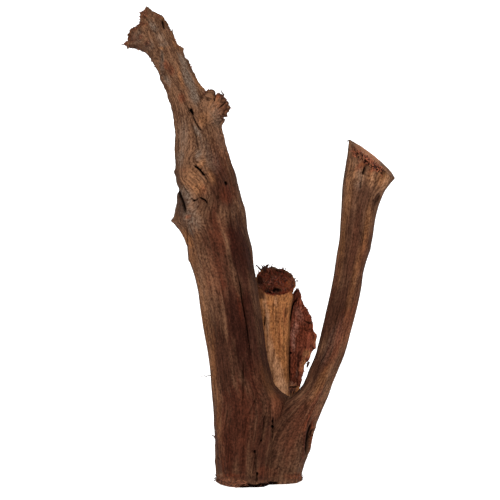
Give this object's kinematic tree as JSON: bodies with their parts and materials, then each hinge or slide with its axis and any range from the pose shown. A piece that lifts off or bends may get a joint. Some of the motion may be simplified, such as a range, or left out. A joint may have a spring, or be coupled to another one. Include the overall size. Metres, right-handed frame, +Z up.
{
  "type": "driftwood",
  "caption": "Forked piece of weathered driftwood standing on its sawn foot, with a tall broken limb, a slanted sawn limb, a short snapped limb behind and a plate of old bark.",
  "frame": {"origin": "centre of the flat sawn foot, on the surface it stands on", "axes": "+Z up from the foot, +X to the right and +Y away from the viewer of the picture's front view"},
  "size_m": [0.27, 0.1031, 0.4735],
  "materials": {
    "trunk_wood": "dark weathered heartwood, matte",
    "grey_brown_wood": "grey brown weathered wood, matte",
    "limb_wood": "brown weathered wood, matte",
    "bare_tan_wood": "bare tan wood where bark came off, matte",
    "old_bark": "red brown old bark, matte"
  },
  "bodies": {
    "root": {"trunk": "trunk_wood", "left_limb": "grey_brown_wood", "right_limb": "limb_wood", "back_limb": "bare_tan_wood", "bark_plate": "old_bark"}
  },
  "joints": []
}
